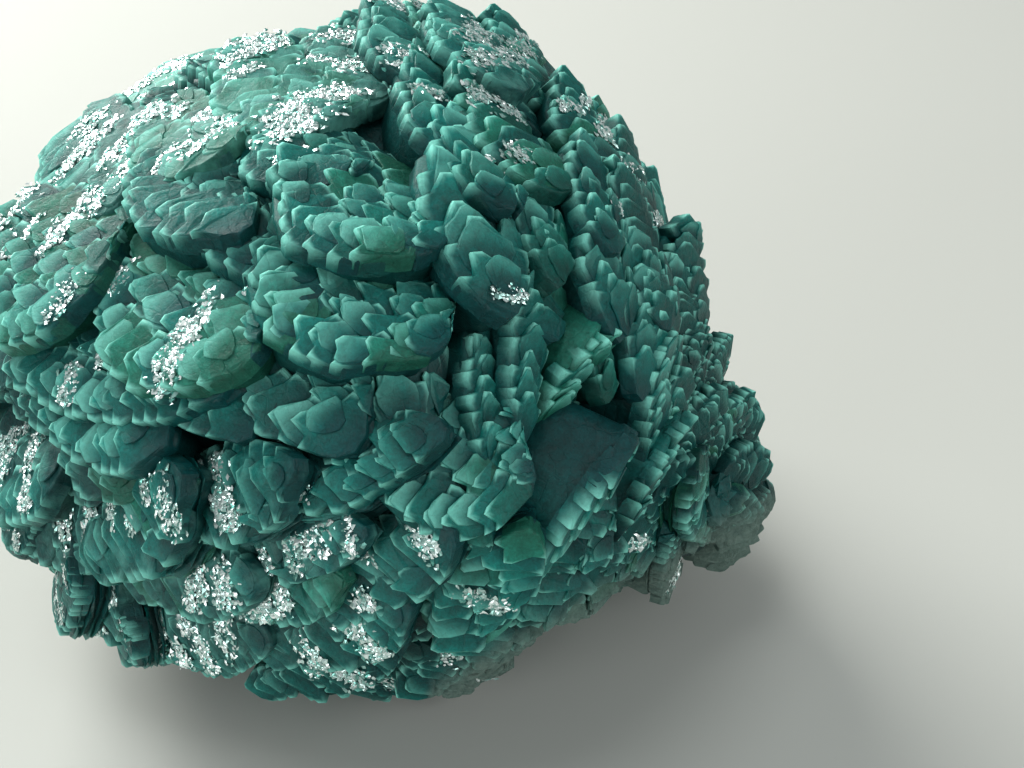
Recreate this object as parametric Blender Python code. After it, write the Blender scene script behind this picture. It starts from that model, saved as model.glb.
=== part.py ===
"""Green heulandite: a ball of stacked, coffin-shaped crystals, cut off flat where it grew on its rock.

The ball has a lumpy core. Sheaves of crystals stand on it: each is a thick book of plates with a steep
side, roofed with leaves that overlap like the scales of a cone. All of it has grown together, so
everything is joined in one solid. Metres, +Z up, origin at the middle of the flat base.
"""

import math
import random

import bmesh
import bpy
from mathutils import Matrix, Vector

MM = 0.001

# The core: half sizes of the ball under the crystals, and the height of its heart above the cut base.
CORE_HALF_WIDTH = 27.4 * MM
CORE_HALF_DEPTH = 24.4 * MM
CORE_HALF_HEIGHT = 25.4 * MM
HEART = Vector((0, 0, 23.5 * MM))
CORE_SUBDIVISIONS = 4
NORMAL_REACH = 0.06

# The display side, which faces forwards and up. Places on it are given as seen from the viewpoint:
# across to the right and up, in millimetres, on a plane through the heart.
DISPLAY_TILT = math.radians(35)
DISPLAY_AXIS = Vector((0, -math.cos(DISPLAY_TILT), math.sin(DISPLAY_TILT)))
DISPLAY_RIGHT = Vector((1, 0, 0))
DISPLAY_UP = Vector((0, math.sin(DISPLAY_TILT), math.cos(DISPLAY_TILT)))
VIEWPOINT = HEART + DISPLAY_AXIS * 116.6 * MM

# Swells and hollows of the core: across, up, rise and radius, in millimetres.
SWELLS = (
    (13.5, -6.5, -6.0, 6.0),
    (-27.5, -15.5, 2.8, 8.0),
    (-18.0, -25.0, -2.0, 7.0),
    (-26.0, 15.0, -2.2, 8.0),
    (-29.0, 2.0, 1.6, 8.0),
    (26.0, 12.0, -5.0, 12.0),
    (-6.0, 28.0, -2.4, 12.0),
    (13.0, 25.0, -1.8, 9.0),
    (28.8, -16.0, 8.0, 7.5),
    (17.0, -22.0, -2.6, 8.0),
    (-14.0, 2.5, -1.4, 5.0),
    (-8.0, -4.0, -1.2, 6.0),
)

# Sheaves on the display side: across, up, heading of the tips (degrees, 0 right, 90 up), length, width,
# and height of the book above the core, in millimetres.
DISPLAY_SHEAVES = (
    # Above the eye: tall leaves with their tips up.
    (8.6, 8.0, 100, 9.8, 5.0, 4.2),
    (9.4, 13.0, 106, 6.6, 5.0, 3.4),
    (6.4, 17.0, 95, 7.6, 3.6, 3.0),
    (12.4, 14.6, 128, 8.0, 5.4, 2.8),
    (13.5, 8.0, 92, 6.2, 3.8, 2.8),
    (17.4, 9.6, 90, 6.4, 3.8, 3.0),
    (18.2, 4.2, 104, 6.6, 4.2, 3.2),
    (11.6, 0.2, 93, 9.0, 3.0, 3.6),
    (14.8, -1.8, 100, 7.2, 4.2, 4.0),
    (17.6, -0.2, 92, 7.2, 2.4, 3.2),
    (19.8, -0.2, 98, 6.6, 3.0, 3.4),
    (13.6, 3.6, 100, 4.8, 4.2, 2.4),
    (22.0, -2.6, 116, 6.8, 5.0, 3.6),
    # Right of the eye.
    (20.0, -6.4, 112, 5.6, 3.2, 3.8),
    (22.6, -7.2, 116, 5.2, 4.2, 3.0),
    (20.6, -11.0, 84, 8.0, 4.6, 3.4),
    (22.0, 10.4, 126, 8.4, 4.2, 2.6),
    (21.6, 5.6, 130, 8.2, 4.8, 2.6),
    (17.8, 14.6, 106, 6.4, 4.6, 2.4),
    (20.6, 15.8, 122, 7.4, 4.2, 2.2),
    (24.4, 12.6, 132, 9.4, 5.4, 2.0),
    (26.2, 8.0, 136, 8.2, 5.2, 1.8),
    (25.2, 2.8, 140, 6.4, 5.2, 2.4),
    (29.0, 4.0, 150, 6.4, 5.6, 2.0),
    (27.2, -1.0, 160, 5.8, 5.4, 2.2),
    (30.4, -5.8, 40, 5.6, 5.4, 2.6),
    (26.6, -6.2, 150, 5.8, 4.6, 2.4),
    (31.0, -12.0, 20, 6.6, 6.0, 2.4),
    (30.0, -16.0, 330, 6.0, 6.0, 2.0),
    (25.6, -12.6, 300, 6.2, 5.4, 1.6),
    (24.0, -17.0, 280, 6.0, 5.0, 1.4),
    # Below the eye: the shell and the plates that step down from it.
    (12.4, -10.4, 228, 10.0, 7.6, 3.8),
    (12.8, -14.6, 216, 8.6, 5.4, 3.4),
    (6.4, -16.0, 246, 8.6, 4.6, 4.6),
    (10.6, -18.8, 214, 8.4, 5.0, 2.8),
    (16.6, -13.2, 252, 6.4, 5.2, 2.6),
    (16.0, -17.6, 236, 6.2, 6.0, 2.0),
    (8.2, -22.8, 202, 9.4, 5.2, 2.2),
    (3.6, -13.8, 236, 6.8, 4.2, 3.6),
    (5.0, -26.4, 262, 6.0, 6.4, 3.0),
    (-1.6, -25.0, 256, 6.0, 6.6, 2.4),
    # The middle: two roofs of wide leaves and their left neighbours.
    (1.6, 10.8, 132, 8.4, 9.4, 3.4),
    (0.8, 4.6, 128, 8.4, 9.4, 4.0),
    (-6.6, 9.0, 122, 9.0, 4.8, 3.2),
    (-11.0, 11.8, 130, 7.6, 5.4, 2.8),
    (-11.2, 5.4, 146, 10.6, 9.6, 3.8),
    (-21.2, 8.6, 150, 9.6, 9.2, 3.6),
    (-28.2, 10.2, 160, 8.4, 7.0, 3.0),
    # The upper left and the top.
    (-18.4, 15.4, 134, 8.8, 9.4, 2.8),
    (-20.4, 20.0, 138, 8.2, 7.6, 2.4),
    (-12.0, 22.2, 120, 9.0, 9.4, 2.8),
    (-11.2, 16.8, 130, 6.6, 7.6, 2.6),
    (-4.2, 19.4, 116, 7.6, 7.4, 2.6),
    (-3.2, 14.6, 118, 6.2, 5.6, 2.8),
    (0.6, 21.4, 100, 6.6, 5.4, 2.4),
    (-2.6, 25.6, 92, 6.8, 5.6, 2.8),
    (2.0, 26.4, 92, 6.6, 4.8, 3.6),
    (6.0, 26.2, 84, 6.6, 5.4, 3.0),
    (3.8, 21.8, 98, 6.8, 3.6, 3.0),
    (10.2, 20.6, 112, 7.6, 5.6, 2.4),
    (14.6, 19.4, 120, 7.8, 6.0, 2.2),
    (9.4, 24.2, 100, 6.6, 6.4, 2.4),
    # The left: long roofs whose tips run left.
    (-27.4, 2.2, 170, 9.0, 6.4, 3.0),
    (-16.8, 0.4, 164, 12.4, 6.4, 3.2),
    (-19.0, -3.6, 164, 8.8, 4.6, 2.8),
    (-19.8, -6.8, 160, 5.6, 3.4, 3.0),
    (-12.4, -0.8, 132, 8.4, 4.4, 2.6),
    (-8.8, -1.0, 114, 5.6, 2.8, 2.6),
    (-4.0, -1.4, 128, 7.4, 6.2, 3.2),
    (2.8, -2.2, 104, 6.0, 4.2, 3.2),
    (8.0, -3.2, 101, 7.4, 2.6, 3.0),
    (5.0, -7.6, 158, 8.6, 6.6, 4.0),
    (-2.0, -6.6, 190, 9.2, 4.8, 4.0),
    (-9.8, -8.2, 200, 9.2, 5.2, 4.0),
    (-16.4, -9.8, 214, 8.4, 6.2, 4.0),
    (-7.4, -12.8, 188, 10.4, 4.4, 2.4),
    (-25.8, -6.0, 184, 9.2, 7.4, 2.6),
    (-22.4, -11.4, 186, 8.4, 5.4, 2.6),
    # The lower left, down to the base.
    (-21.0, -16.4, 216, 7.6, 5.6, 3.2),
    (-12.8, -15.2, 196, 8.6, 4.0, 3.2),
    (-6.8, -16.2, 190, 6.8, 3.8, 2.8),
    (-13.2, -19.8, 200, 9.4, 5.2, 2.8),
    (-17.4, -22.8, 230, 7.0, 5.8, 3.2),
    (0.2, -14.4, 216, 7.6, 5.2, 3.8),
    (-3.2, -19.2, 206, 8.6, 5.2, 3.6),
    (-3.6, -22.8, 200, 8.6, 4.6, 2.8),
    (-27.4, -16.0, 224, 8.2, 8.2, 2.2),
    (-24.0, -20.6, 232, 7.6, 7.6, 2.4),
    (-29.4, -9.8, 196, 7.4, 6.4, 2.4),
)

# The hidden side is covered by one rule: sheaves spread evenly, all with their tips turned away from
# the eye, the deep hollow that every sheaf radiates from.
EYE_ACROSS = 13.5 * MM
EYE_UP = -6.5 * MM
HIDDEN_COUNT = 116
HIDDEN_FACING = -0.1
HIDDEN_STEADY = 0.93
HIDDEN_LENGTH = (9.0, 11.5)
HIDDEN_WIDTH = (8.5, 10.5)
HIDDEN_HEIGHT = (2.2, 3.2)
UNDERSIDE_HEIGHT = (1.0, 1.8)
UNDERSIDE_LEVEL = -0.55

# How a sheaf is built: its book slopes down to the tips, and each leaf on it lies flatter than the book.
BOOK_TILT = math.radians(-9)
BOOK_ROOT = 3.0 * MM
BOOK_SPREAD = 1.18
LEAF_TILT = math.radians(15)
LEAF_THICKNESS = 1.5 * MM
LEAF_LENGTH_SHARE = 0.74
LEAF_WIDTH_SHARE = 0.86
TAPER = 0.93
TIP_HALF_WIDTH = 0.11
FOOT_HALF_WIDTH = 0.36
SHOULDER = 0.05
LEAF_STEP = 0.3
MANY_LEAVES_LENGTH = 8.7 * MM
SEED = 7


def clear_scene():
    for obj in list(bpy.data.objects):
        bpy.data.objects.remove(obj, do_unlink=True)


def display_plane(across, up):
    """A point on the plane through the heart that faces the viewpoint."""
    return HEART + DISPLAY_RIGHT * across + DISPLAY_UP * up


def swell_directions():
    found = []
    for across, up, rise, radius in SWELLS:
        flat = display_plane(across * MM, up * MM) - HEART
        depth = max(CORE_HALF_DEPTH**2 - flat.length_squared, 0)
        direction = (flat + DISPLAY_AXIS * math.sqrt(depth)).normalized()
        found.append((direction, rise * MM, radius * MM / CORE_HALF_HEIGHT))
    return found


SWELL_DIRECTIONS = swell_directions()


def core_radius(direction):
    """Distance from the heart to the core's surface along a unit direction."""
    x, y, z = direction
    shape = (x / CORE_HALF_WIDTH) ** 2 + (y / CORE_HALF_DEPTH) ** 2 + (z / CORE_HALF_HEIGHT) ** 2
    radius = 1 / math.sqrt(shape)
    for centre, rise, spread in SWELL_DIRECTIONS:
        radius += rise * math.exp(-((direction.angle(centre) / spread) ** 2))
    return radius


def core_point(direction):
    return HEART + direction * core_radius(direction)


def display_point(across, up):
    """Where the line of sight through a place on the display plane meets the core, or passes it closest."""
    sight = (display_plane(across, up) - VIEWPOINT).normalized()
    nearest = (HEART - VIEWPOINT).dot(sight)
    step = 0.25 * MM
    travelled = nearest - 2 * CORE_HALF_WIDTH
    while travelled < nearest:
        offset = VIEWPOINT + sight * travelled - HEART
        if offset.length <= core_radius(offset.normalized()):
            break
        travelled += step
    return core_point((VIEWPOINT + sight * travelled - HEART).normalized())


def core_normal(point):
    """Outward normal of the core, from two short steps along its surface."""
    direction = (point - HEART).normalized()
    side = direction.orthogonal().normalized() * NORMAL_REACH
    other = direction.cross(side)
    right, left, far, near = (
        core_point((direction + step).normalized()) for step in (side, -side, other, -other)
    )
    return (right - left).cross(far - near).normalized()


def frame_at(place, normal, heading, tilt):
    """Axes of a plate: X across it, Y to its tip, Z out of its face, with its tip lifted by the tilt."""
    along = (heading - normal * heading.dot(normal)).normalized()
    tip = along * math.cos(tilt) + normal * math.sin(tilt)
    face = normal * math.cos(tilt) - along * math.sin(tilt)
    side = tip.cross(face)
    frame = Matrix((side, tip, face)).transposed().to_4x4()
    frame.translation = place
    return frame


def display_heading(degrees):
    """A direction on the display side, leaning away from the viewpoint so that it holds at the rim."""
    angle = math.radians(degrees)
    return DISPLAY_RIGHT * math.cos(angle) + DISPLAY_UP * math.sin(angle) - DISPLAY_AXIS * 0.5


def display_sheaves():
    """(place, heading, length, width, height) of each sheaf on the display side."""
    found = []
    for across, up, heading, length, width, height in DISPLAY_SHEAVES:
        place = display_point(across * MM, up * MM)
        found.append((place, display_heading(heading), length * MM, width * MM, height * MM))
    return found


def hidden_sheaves(draw):
    """The same for the hidden side and the underside, on evenly spread directions."""
    golden = math.pi * (3 - math.sqrt(5))
    eye = (display_point(EYE_ACROSS, EYE_UP) - HEART).normalized()
    found = []
    for index in range(HIDDEN_COUNT):
        level = 1 - 2 * (index + 0.5) / HIDDEN_COUNT
        ring = math.sqrt(1 - level * level)
        direction = Vector((ring * math.cos(golden * index), ring * math.sin(golden * index), level))
        place = core_point(direction)
        height = draw.uniform(*(UNDERSIDE_HEIGHT if level < UNDERSIDE_LEVEL else HIDDEN_HEIGHT))
        length, width = draw.uniform(*HIDDEN_LENGTH), draw.uniform(*HIDDEN_WIDTH)
        turn = Matrix.Rotation(draw.uniform(-0.5, 0.5), 3, direction)
        normal = core_normal(place)
        hidden = normal.dot((VIEWPOINT - place).normalized()) < HIDDEN_FACING
        if hidden and normal.dot(direction) > HIDDEN_STEADY:
            found.append((place, turn @ (direction - eye), length * MM, width * MM, height * MM))
    return found


def plate_outline(mesh, length, width, thickness):
    """Shapes a hexagonal prism in place: blunt foot, widest ahead of its middle, short blunt tip."""
    for vertex in mesh.verts:
        x, y, z = vertex.co
        end = 1 if y > 0.2 else -1 if y < -0.2 else 0
        across = (x > 0) - (x < 0)
        half = {1: TIP_HALF_WIDTH, 0: 0.5, -1: FOOT_HALF_WIDTH}[end]
        taper = TAPER if z > 0 else 1
        along = {1: 0.5, 0: SHOULDER, -1: -0.5}[end]
        vertex.co = (across * half * width * taper, along * length * taper, (z - 0.5) * thickness)


def coffin(name, length, width, thickness, frame, collection):
    """A coffin-shaped plate, its face at the frame's origin and its body below."""
    mesh = bmesh.new()
    sixth = Matrix.Rotation(math.pi / 6, 4, "Z")
    bmesh.ops.create_cone(mesh, cap_ends=True, segments=6, radius1=1, radius2=1, depth=1, matrix=sixth)
    plate_outline(mesh, length, width, thickness)
    mesh.transform(frame)
    plate = bpy.data.objects.new(name, bpy.data.meshes.new(name))
    mesh.to_mesh(plate.data)
    mesh.free()
    plate.hide_render = True
    plate.display_type = "WIRE"
    collection.objects.link(plate)
    return plate


def grow_sheaf(index, sheaf, leaves, draw, collection):
    """A book of plates on the core, and the rows of leaves that roof it."""
    place, heading, length, width, height = sheaf
    normal = core_normal(place)
    top = frame_at(place + normal * height, normal, heading, BOOK_TILT)
    coffin(f"book_{index}", length * BOOK_SPREAD, width * BOOK_SPREAD, height + BOOK_ROOT, top, collection)
    leaf_length = length * LEAF_LENGTH_SHARE
    leaf_width = width * LEAF_WIDTH_SHARE
    for row in range(leaves):
        along = (row - 0.5 * (leaves - 1)) * length * LEAF_STEP - length * 0.06
        across = width * draw.uniform(-0.12, 0.12)
        turn = Matrix.Rotation(draw.uniform(-0.18, 0.18), 4, "Z") @ Matrix.Rotation(LEAF_TILT, 4, "X")
        frame = top @ Matrix.Translation((across, along, LEAF_THICKNESS * 0.4)) @ turn
        coffin(f"leaf_{index}_{row}", leaf_length, leaf_width, LEAF_THICKNESS, frame, collection)


def core_body(collection):
    """The lumpy ball that carries every sheaf."""
    mesh = bmesh.new()
    bmesh.ops.create_icosphere(mesh, subdivisions=CORE_SUBDIVISIONS, radius=1)
    for vertex in mesh.verts:
        vertex.co = core_point(vertex.co.normalized())
    body = bpy.data.objects.new("heulandite_cluster", bpy.data.meshes.new("heulandite_cluster"))
    mesh.to_mesh(body.data)
    mesh.free()
    collection.objects.link(body)
    return body


def base_cutter(collection):
    """A block below the base plane, which leaves the flat that the ball rests on."""
    side = 4 * CORE_HALF_WIDTH
    mesh = bmesh.new()
    bmesh.ops.create_cube(mesh, size=side, matrix=Matrix.Translation((0, 0, -side / 2)))
    cutter = bpy.data.objects.new("base_cut", bpy.data.meshes.new("base_cut"))
    mesh.to_mesh(cutter.data)
    mesh.free()
    cutter.hide_render = True
    cutter.display_type = "WIRE"
    collection.objects.link(cutter)
    return cutter


def fill_hidden_voids(body):
    """Applies the joins, then keeps only the outer skin: spaces closed off between crystals are filled."""
    graph = bpy.context.evaluated_depsgraph_get()
    mesh = bmesh.new()
    mesh.from_mesh(body.evaluated_get(graph).to_mesh())
    body.modifiers.clear()
    unseen = set(mesh.faces)
    skins = []
    while unseen:
        skin = {unseen.pop()}
        front = list(skin)
        while front:
            for edge in front.pop().edges:
                fresh = [face for face in edge.link_faces if face in unseen]
                unseen.difference_update(fresh)
                skin.update(fresh)
                front.extend(fresh)
        skins.append(skin)
    outer = max(skins, key=len)
    inner = [face for skin in skins if skin is not outer for face in skin]
    bmesh.ops.delete(mesh, geom=inner, context="FACES")
    mesh.to_mesh(body.data)
    mesh.free()


def heulandite_green():
    material = bpy.data.materials.new("heulandite_green")
    material.use_nodes = True
    shader = material.node_tree.nodes["Principled BSDF"]
    shader.inputs["Base Color"].default_value = (0.045, 0.205, 0.165, 1)
    shader.inputs["Roughness"].default_value = 0.42
    shader.inputs["Metallic"].default_value = 0.0
    return material


def new_collection(name):
    collection = bpy.data.collections.new(name)
    bpy.context.scene.collection.children.link(collection)
    return collection


def main():
    clear_scene()
    draw = random.Random(SEED)
    cluster = new_collection("green_heulandite")
    growth = new_collection("crystals_to_join")
    cutters = new_collection("cutters")
    body = core_body(cluster)
    body.data.materials.append(heulandite_green())
    shown = display_sheaves()
    for index, sheaf in enumerate(shown + hidden_sheaves(draw)):
        if index < len(shown):
            leaves = 2 if sheaf[2] > MANY_LEAVES_LENGTH else 1
        else:
            leaves = 1 if sheaf[4] > UNDERSIDE_HEIGHT[1] * MM else 0
        grow_sheaf(index, sheaf, leaves, draw, growth)
    join = body.modifiers.new("join_crystals", "BOOLEAN")
    join.operation = "UNION"
    join.operand_type = "COLLECTION"
    join.collection = growth
    cut = body.modifiers.new("cut_base", "BOOLEAN")
    cut.operation = "DIFFERENCE"
    cut.object = base_cutter(cutters)
    fill_hidden_voids(body)


main()
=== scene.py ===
"""A ball of green heulandite crystals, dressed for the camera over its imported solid. Metres, +Z up."""

import math

import bpy
import numpy as np
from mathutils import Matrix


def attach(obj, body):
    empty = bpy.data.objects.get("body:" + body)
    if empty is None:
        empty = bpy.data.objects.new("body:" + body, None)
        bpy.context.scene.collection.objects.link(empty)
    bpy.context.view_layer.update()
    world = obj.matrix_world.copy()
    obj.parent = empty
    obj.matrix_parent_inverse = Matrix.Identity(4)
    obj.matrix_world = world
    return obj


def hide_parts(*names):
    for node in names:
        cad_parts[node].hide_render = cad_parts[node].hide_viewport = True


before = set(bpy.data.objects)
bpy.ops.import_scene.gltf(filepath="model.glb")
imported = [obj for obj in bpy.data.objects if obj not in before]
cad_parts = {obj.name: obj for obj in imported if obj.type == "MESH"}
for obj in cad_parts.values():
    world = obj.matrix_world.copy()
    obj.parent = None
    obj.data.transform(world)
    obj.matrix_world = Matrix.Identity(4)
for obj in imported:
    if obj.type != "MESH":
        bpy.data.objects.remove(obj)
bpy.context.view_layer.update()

# 1. The heart of the ball.
# Massive green zeolite that the crystals grew out from, sliced flat underneath where the rock was.
# It shows only at the bottom of the clefts and as the dull cut base.
MM = 0.001
HEART = np.array((0, 0, 23.5)) * MM
CORE_HALF_SIZES = np.array((27.4, 24.4, 25.4)) * MM
SUNK_UNDER_CRYSTALS = 0.4

# The display side looks forward and up. Places on it are in millimetres across and up from its middle.
DISPLAY_TILT = math.radians(35)
DISPLAY_AXIS = np.array((0, -math.cos(DISPLAY_TILT), math.sin(DISPLAY_TILT)))
DISPLAY_RIGHT = np.array((1.0, 0, 0))
DISPLAY_UP = np.array((0, math.sin(DISPLAY_TILT), math.cos(DISPLAY_TILT)))
VIEW_DISTANCE = 116.6
VIEWPOINT = HEART + DISPLAY_AXIS * VIEW_DISTANCE * MM

# Swells and hollows of the display side: across, up, rise and radius.
SWELLS = (
    (13.5, -6.5, -6.0, 6.0),
    (-27.5, -15.5, 2.8, 8.0),
    (-18.0, -25.0, -2.0, 7.0),
    (-26.0, 15.0, -2.2, 8.0),
    (-29.0, 2.0, 1.6, 8.0),
    (26.0, 12.0, -5.0, 12.0),
    (-6.0, 28.0, -2.4, 12.0),
    (13.0, 25.0, -1.8, 9.0),
    (28.8, -16.0, 8.0, 7.5),
    (17.0, -22.0, -2.6, 8.0),
    (-14.0, 2.5, -1.4, 5.0),
    (-8.0, -4.0, -1.2, 6.0),
)


def unit(vectors):
    return vectors / np.linalg.norm(vectors, axis=-1, keepdims=True)


def swell_centres():
    centres = []
    for across, up, rise, radius in SWELLS:
        flat = (DISPLAY_RIGHT * across + DISPLAY_UP * up) * MM
        depth = max(CORE_HALF_SIZES[1] ** 2 - flat @ flat, 0)
        centre = unit(flat + DISPLAY_AXIS * math.sqrt(depth))
        centres.append((centre, rise * MM, radius * MM / CORE_HALF_SIZES[2]))
    return centres


SWELL_CENTRES = swell_centres()


def heart_radius(directions):
    """How far the heart's surface lies from its centre, along each unit direction."""
    radius = ((directions / CORE_HALF_SIZES) ** 2).sum(axis=-1) ** -0.5
    for centre, rise, spread in SWELL_CENTRES:
        angle = np.arccos(np.clip(directions @ centre, -1, 1))
        radius = radius + rise * np.exp(-((angle / spread) ** 2))
    return radius


def heart_point(directions):
    return HEART + directions * heart_radius(directions)[..., None]


bpy.ops.object.select_all(action="DESELECT")
bpy.ops.mesh.primitive_ico_sphere_add(subdivisions=6, radius=1, location=(0, 0, 0))
heart = bpy.context.object
heart.name = "cluster_heart"
ball = np.empty(len(heart.data.vertices) * 3)
heart.data.vertices.foreach_get("co", ball)
ball = unit(ball.reshape(-1, 3))
heart.data.vertices.foreach_set("co", (heart_point(ball) - ball * SUNK_UNDER_CRYSTALS * MM).ravel())
bpy.ops.object.mode_set(mode="EDIT")
bpy.ops.mesh.select_all(action="SELECT")
bpy.ops.mesh.bisect(plane_co=(0, 0, 0), plane_no=(0, 0, 1), use_fill=True, clear_inner=True, threshold=1e-6)
bpy.ops.object.mode_set(mode="OBJECT")
bpy.ops.object.shade_smooth()


def shader_node(tree, kind, settings=None, **inputs):
    """A node with its settings, and each named input either linked to a socket or set to a value."""
    node = tree.nodes.new(kind)
    for name, value in (settings or {}).items():
        setattr(node, name, value)
    for name, value in inputs.items():
        socket = node.inputs[name.replace("_", " ")]
        if isinstance(value, bpy.types.NodeSocket):
            tree.links.new(value, socket)
        else:
            socket.default_value = value
    return node


def maths(tree, operation, *values, clamp=False):
    node = tree.nodes.new("ShaderNodeMath")
    node.operation = operation
    node.use_clamp = clamp
    for socket, value in zip(node.inputs, values):
        if isinstance(value, bpy.types.NodeSocket):
            tree.links.new(value, socket)
        else:
            socket.default_value = value
    return node.outputs[0]


def ramp(tree, value, low, high, bottom=0.0, top=1.0):
    """Maps low..high to bottom..top with soft ends."""
    settings = {"interpolation_type": "SMOOTHSTEP"}
    node = shader_node(tree, "ShaderNodeMapRange", settings, Value=value, From_Min=low, From_Max=high)
    node.inputs["To Min"].default_value = bottom
    node.inputs["To Max"].default_value = top
    return node.outputs[0]


def mix_colour(tree, amount, first, second):
    node = tree.nodes.new("ShaderNodeMix")
    node.data_type = "RGBA"
    for index, value in ((0, amount), (6, first), (7, second)):
        if isinstance(value, bpy.types.NodeSocket):
            tree.links.new(value, node.inputs[index])
        else:
            node.inputs[index].default_value = value
    return node.outputs[2]


def split_colour(tree, value):
    """The three channels of a colour, each as a socket."""
    node = tree.nodes.new("ShaderNodeSeparateColor")
    tree.links.new(value, node.inputs[0])
    return node.outputs


def colour(red, green, blue):
    """A colour as a paint chart gives it, 0 to 255, in the shader's own terms."""
    channels = []
    for level in (red, green, blue):
        share = level / 255
        channels.append(share / 12.92 if share <= 0.04045 else ((share + 0.055) / 1.055) ** 2.4)
    return (*channels, 1.0)


# Painted shade: this dark green stands in for the shade down in the clefts and close to the heart.
CLEFT_SHADE_GREEN = colour(0, 52, 51)
SHADE_GREEN = colour(0, 54, 55)
FACE_GREEN = colour(16, 114, 104)
LEAF_GREEN = colour(46, 128, 84)
# Painted light: this pale green stands in for light coming through thin rims and for sheen on frosty patches.
RIM_LIGHT_GREEN = colour(136, 222, 204)
DARK_STONE = colour(12, 48, 45)
PALE_STONE = colour(120, 142, 131)


def zeolite_group():
    """Heulandite's surface: mottled green with fine cracks, dull where broken, and painted light and shade:
    pale glowing rims, a paler frosty sheen and darker clefts.
    """
    tree = bpy.data.node_groups.new("zeolite_surface", "ShaderNodeTree")
    ins = (("Rim", 0.0), ("Tone", 0.5), ("Depth", 0.5), ("Broken", 0.0), ("Glitter", 0.0), ("Fade", 0.3))
    for name, value in ins:
        socket = tree.interface.new_socket(name, in_out="INPUT", socket_type="NodeSocketFloat")
        socket.default_value = value
    outs = (("Colour", "NodeSocketColor"), ("Roughness", "NodeSocketFloat"), ("Normal", "NodeSocketVector"))
    for name, kind in outs:
        tree.interface.new_socket(name, in_out="OUTPUT", socket_type=kind)
    given = tree.nodes.new("NodeGroupInput").outputs
    result = tree.nodes.new("NodeGroupOutput").inputs
    place = tree.nodes.new("ShaderNodeTexCoord").outputs["Object"]

    # Patterns from coarse to fine. Each scale is in cells a metre.
    cloud = shader_node(tree, "ShaderNodeTexNoise", Vector=place, Scale=230, Detail=4, Roughness=0.6)
    patch = shader_node(tree, "ShaderNodeTexNoise", Vector=place, Scale=620, Detail=3, Roughness=0.55)
    grain = shader_node(tree, "ShaderNodeTexNoise", Vector=place, Scale=1900, Detail=5, Roughness=0.65)
    crumb = shader_node(tree, "ShaderNodeTexNoise", Vector=place, Scale=6200, Detail=3, Roughness=0.6)
    plates = shader_node(tree, "ShaderNodeTexVoronoi", Vector=place, Scale=1150, Randomness=0.95)
    chips = shader_node(tree, "ShaderNodeTexVoronoi", Vector=place, Scale=2700, Randomness=1.0)
    cloud, patch, grain, crumb = (noise.outputs["Fac"] for noise in (cloud, patch, grain, crumb))
    plate_shade = split_colour(tree, plates.outputs["Color"])[0]
    chip_shade = split_colour(tree, chips.outputs["Color"])[1]

    # Cracks run along the edges of wandering cells, and fade out in the lighter clouds.
    wander = shader_node(tree, "ShaderNodeVectorMath", {"operation": "SCALE"}, Scale=0.9 * MM)
    tree.links.new(patch.node.outputs["Color"], wander.inputs[0])
    wandering = tree.nodes.new("ShaderNodeVectorMath")
    tree.links.new(place, wandering.inputs[0])
    tree.links.new(wander.outputs[0], wandering.inputs[1])
    to_edge = {"feature": "DISTANCE_TO_EDGE"}
    cracks = shader_node(tree, "ShaderNodeTexVoronoi", to_edge, Vector=wandering.outputs[0], Scale=560)
    uncracked = ramp(tree, cracks.outputs["Distance"], 0.0, 0.045)
    uncracked = maths(tree, "MAXIMUM", uncracked, ramp(tree, cloud, 0.5, 0.58))

    # The green, with painted shade: darker in the clefts and on shaded sheaf sides, and towards each leaf's
    # root. Each pattern varies it: strength and least.
    face = mix_colour(tree, maths(tree, "POWER", given["Fade"], 1.6), SHADE_GREEN, FACE_GREEN)
    body = mix_colour(tree, ramp(tree, given["Depth"], 0.0, 0.75), CLEFT_SHADE_GREEN, face)
    leafy = maths(tree, "MULTIPLY", ramp(tree, given["Tone"], 0.8, 1.1), 0.3)
    body = mix_colour(tree, leafy, body, LEAF_GREEN)
    mottle = maths(tree, "MULTIPLY_ADD", cloud, 1.0, 0.5)
    for pattern, strength, least in (
        (plate_shade, 0.3, 0.85),
        (grain, 1.1, 0.45),
        (crumb, 0.9, 0.55),
        (uncracked, 0.1, 0.9),
    ):
        mottle = maths(tree, "MULTIPLY", mottle, maths(tree, "MULTIPLY_ADD", pattern, strength, least))
    mottled = shader_node(tree, "ShaderNodeVectorMath", {"operation": "SCALE"}, Scale=mottle)
    tree.links.new(body, mottled.inputs[0])

    # Painted light: the thin rims are paler as if light came through them, and frosty patches are paler with
    # a painted sheen. Broken ground is grey.
    thin = maths(tree, "MULTIPLY_ADD", grain, 0.9, 0.45)
    thin = maths(tree, "MULTIPLY", ramp(tree, given["Rim"], 0.15, 1.05), thin, clamp=True)
    body = mix_colour(tree, thin, mottled.outputs[0], RIM_LIGHT_GREEN)
    dull = ramp(tree, maths(tree, "MULTIPLY_ADD", cloud, 0.6, given["Broken"]), 0.5, 1.1)
    body = mix_colour(tree, dull, body, mix_colour(tree, grain, DARK_STONE, PALE_STONE))
    frost = ramp(tree, maths(tree, "MULTIPLY_ADD", patch, 0.9, given["Glitter"]), 1.05, 1.5, 0, 0.25)
    tree.links.new(mix_colour(tree, frost, body, RIM_LIGHT_GREEN), result["Colour"])

    waxy = maths(tree, "MULTIPLY_ADD", grain, 0.25, 0.38)
    tree.links.new(maths(tree, "MULTIPLY_ADD", dull, 0.25, waxy), result["Roughness"])

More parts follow.
